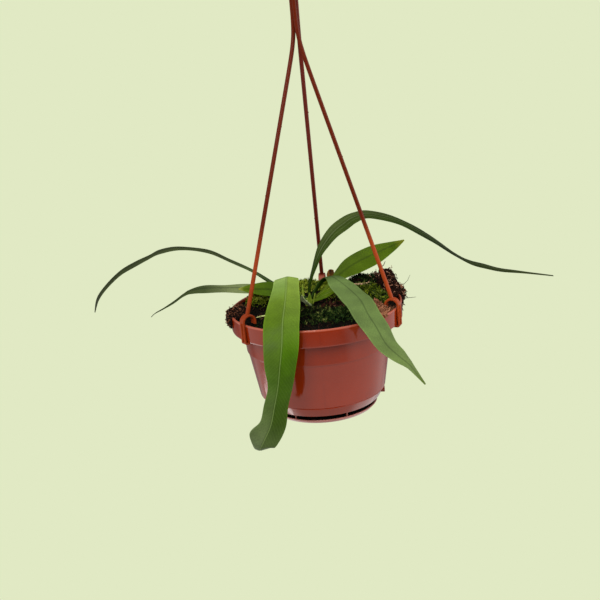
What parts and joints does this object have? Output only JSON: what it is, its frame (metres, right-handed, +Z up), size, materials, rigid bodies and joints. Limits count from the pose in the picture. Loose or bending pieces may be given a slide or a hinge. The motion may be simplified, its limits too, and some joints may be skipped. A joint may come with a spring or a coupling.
{
  "type": "potted plant",
  "caption": "Strap-leaved anthurium with long arching leaves in a round plastic hanging pot with a clip-on saucer and a three-strand hanger, for hanging from a hook or rail",
  "frame": {"origin": "the point of the hook's inner bend that rests on what the pot hangs from", "axes": "+Z up; +X to the right and +Y away from the viewer who faces the long front leaf"},
  "size_m": [0.3702, 0.175, 0.3909],
  "materials": {
    "terracotta_plastic": "glossy terracotta injection moulding",
    "hanger_plastic": "satin darker terracotta moulding",
    "peat": "moist black peat crumb",
    "coir_dark": "dark root and coir fibre",
    "coir_light": "light brown coir fibre",
    "moss": "short green moss",
    "bark": "rough brown bark",
    "leaf": "satin leathery green leaf",
    "leaf_dark": "darker leathery green leaf",
    "crown": "pale green stem base",
    "papery": "dry papery sheath"
  },
  "bodies": {
    "root": {"pot": "terracotta_plastic", "saucer": "terracotta_plastic", "hanger_hook": "hanger_plastic", "hanger_strand_left": "hanger_plastic", "hanger_strand_right": "hanger_plastic", "hanger_strand_back": "hanger_plastic", "soil": "peat", "coir_clump_right": "coir_dark", "coir_clump_left": "coir_dark", "coir_clump_front": "coir_light", "moss_back": "moss", "moss_right": "moss", "moss_front": "moss", "moss_left": "moss", "bark_chip": "bark", "twig": "bark", "root_tip": "papery", "crown": "crown", "cataphyll": "papery", "leaf_front": "leaf", "leaf_right": "leaf", "leaf_arch": "leaf_dark", "leaf_back": "leaf", "leaf_left_long": "leaf_dark", "leaf_left_mid": "leaf", "leaf_left_young": "leaf", "leaf_new": "leaf"}
  },
  "joints": []
}
